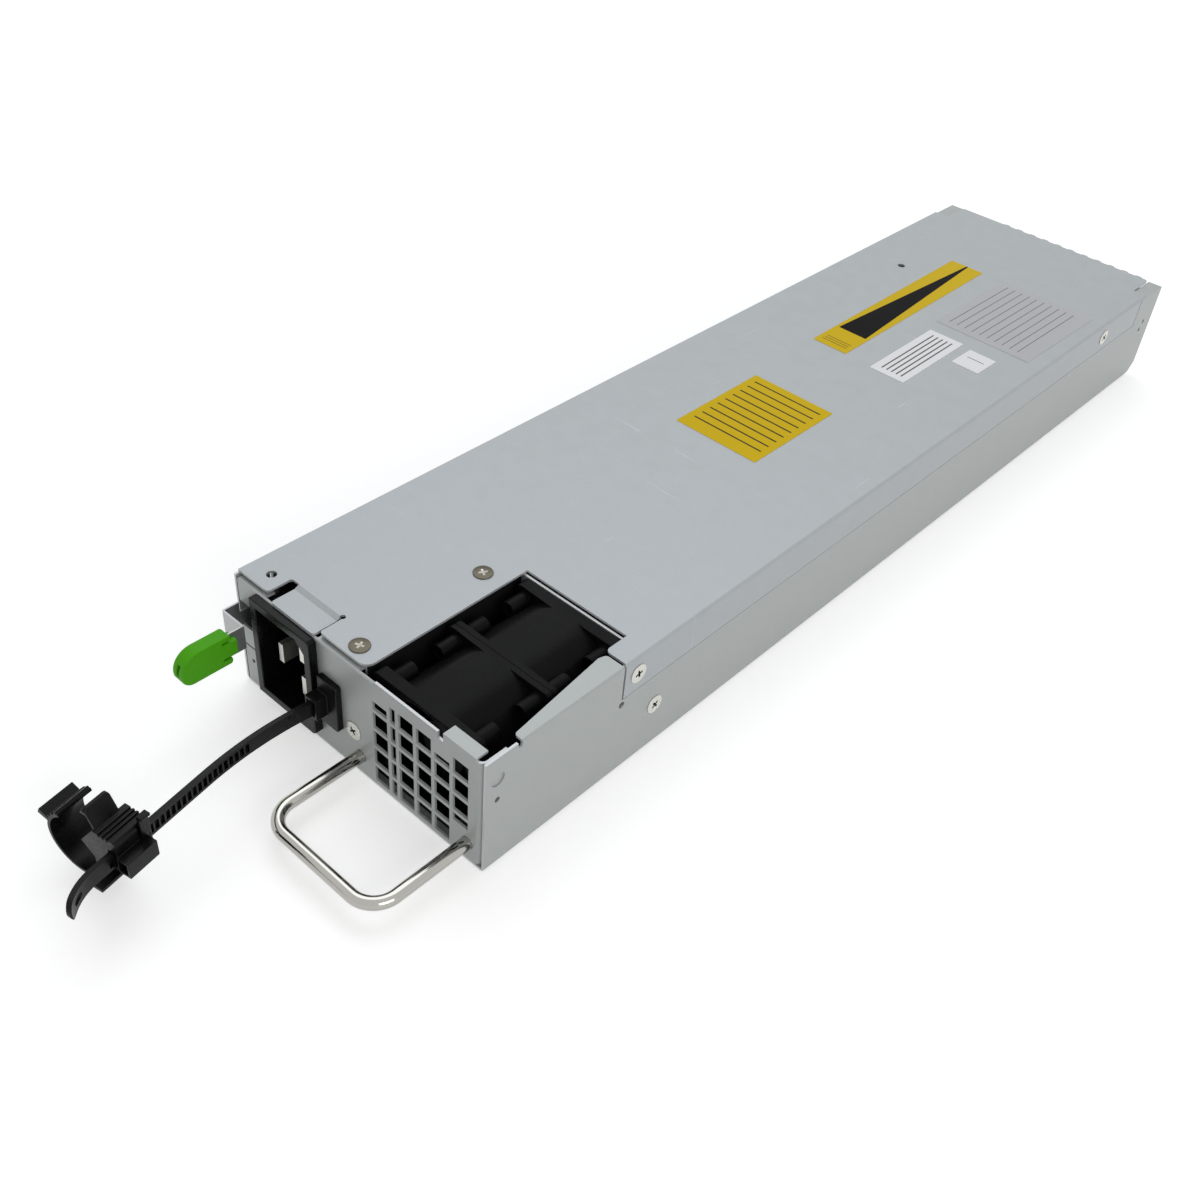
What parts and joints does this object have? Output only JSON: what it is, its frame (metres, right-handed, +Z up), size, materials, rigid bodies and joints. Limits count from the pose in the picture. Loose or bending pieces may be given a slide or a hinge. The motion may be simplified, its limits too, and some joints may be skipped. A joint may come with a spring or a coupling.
{
  "type": "hot swap server power supply",
  "caption": "Long low sheet-metal power module with a fan and mains inlet in front, a wire pull handle, a sprung side latch and a strap with a cord clamp.",
  "frame": {"origin": "centre of the case's flat underside", "axes": "+X across the case to the right seen from the front, +Y from the front panel to the rear connector, +Z up"},
  "size_m": [0.1064, 0.49, 0.0424],
  "materials": {
    "galvanised_sheet": "matte zinc-coated sheet",
    "black_plastic": "matte black moulding",
    "grip_green": "satin green moulding",
    "chromed_wire": "polished",
    "screw_silver": "bright zinc",
    "screw_bronze": "yellow passivated",
    "spring_steel": "satin",
    "blade_brass": "tin plated",
    "board_green": "solder mask",
    "insulator": "clear film",
    "can_black": "sleeved",
    "sink_aluminium": "extruded",
    "ferrite": "sintered",
    "copper_winding": "enamelled copper",
    "film_yellow": "boxed film capacitor",
    "steel_shaft": "ground"
  },
  "bodies": {
    "case": {"chassis_tray": "galvanised_sheet", "top_cover": "galvanised_sheet", "front_panel": "galvanised_sheet", "rear_panel": "galvanised_sheet", "fan_bracket": "galvanised_sheet", "fan_frame_front": "black_plastic", "fan_frame_rear": "black_plastic", "front_stator": "copper_winding", "rear_stator": "copper_winding", "front_bearing": "blade_brass", "rear_bearing": "blade_brass", "fan_screws": "screw_silver", "inlet_housing": "black_plastic", "inlet_blades": "blade_brass", "inlet_board": "board_green", "pull_handle": "chromed_wire", "handle_washers": "spring_steel", "latch_rivets": "spring_steel", "strap_anchor": "black_plastic", "retaining_strap": "black_plastic", "cover_top_screws": "screw_bronze", "cover_side_screws": "screw_silver", "chassis_side_screws": "screw_silver", "front_panel_screw": "screw_silver", "board_screws": "screw_silver", "standoffs": "blade_brass", "main_board": "board_green", "insulation_sheet": "insulator", "common_mode_choke": "copper_winding", "pfc_choke": "copper_winding", "x_capacitors": "film_yellow", "bulk_capacitors": "can_black", "primary_heatsink": "sink_aluminium", "secondary_heatsink": "sink_aluminium", "bridge_rectifier": "black_plastic", "main_transformer": "ferrite", "transformer_winding": "copper_winding", "resonant_inductor": "ferrite", "output_inductors": "ferrite", "output_capacitors": "can_black", "control_board": "board_green", "output_connector": "black_plastic", "power_contacts": "blade_brass"},
    "front_rotor": {"front_impeller": "black_plastic", "front_rotor_magnet": "ferrite", "front_shaft": "steel_shaft"},
    "rear_rotor": {"rear_impeller": "black_plastic", "rear_rotor_magnet": "ferrite", "rear_shaft": "steel_shaft"},
    "latch": {"latch_spring": "spring_steel", "latch_grip": "grip_green"},
    "clamp": {"clamp_body": "black_plastic"},
    "jaw": {"clamp_jaw": "black_plastic"},
    "lever": {"clamp_lever": "black_plastic"}
  },
  "joints": [
    {"name": "front_rotor_spin", "type": "hinge", "parent": "case", "child": "front_rotor", "pos_m": [0.025, -0.178, 0.0208], "axis": [0, 1, 0], "continuous": true},
    {"name": "rear_rotor_spin", "type": "hinge", "parent": "case", "child": "rear_rotor", "pos_m": [0.025, -0.158, 0.0208], "axis": [0, 1, 0], "continuous": true},
    {"name": "latch_press", "type": "hinge", "parent": "case", "child": "latch", "pos_m": [-0.0509, -0.1295, 0.02555], "axis": [0, 0, 1], "range_deg": [0, 3.4], "stiffness_Nm_per_rad": 0.9},
    {"name": "clamp_slide", "type": "slide", "parent": "case", "child": "clamp", "axis": [-0.1994, 0.9799, 0], "range_m": [0, 0.02]},
    {"name": "jaw_close", "type": "hinge", "parent": "clamp", "child": "jaw", "pos_m": [-0.01151, -0.26936, 0.0082], "axis": [-0.1994, 0.9799, 0], "range_deg": [0, 22]},
    {"name": "lever_press", "type": "hinge", "parent": "clamp", "child": "lever", "pos_m": [-0.0029, -0.26404, 0.0224], "axis": [-0.1994, 0.9799, 0], "range_deg": [0, 6], "stiffness_Nm_per_rad": 0.05}
  ]
}
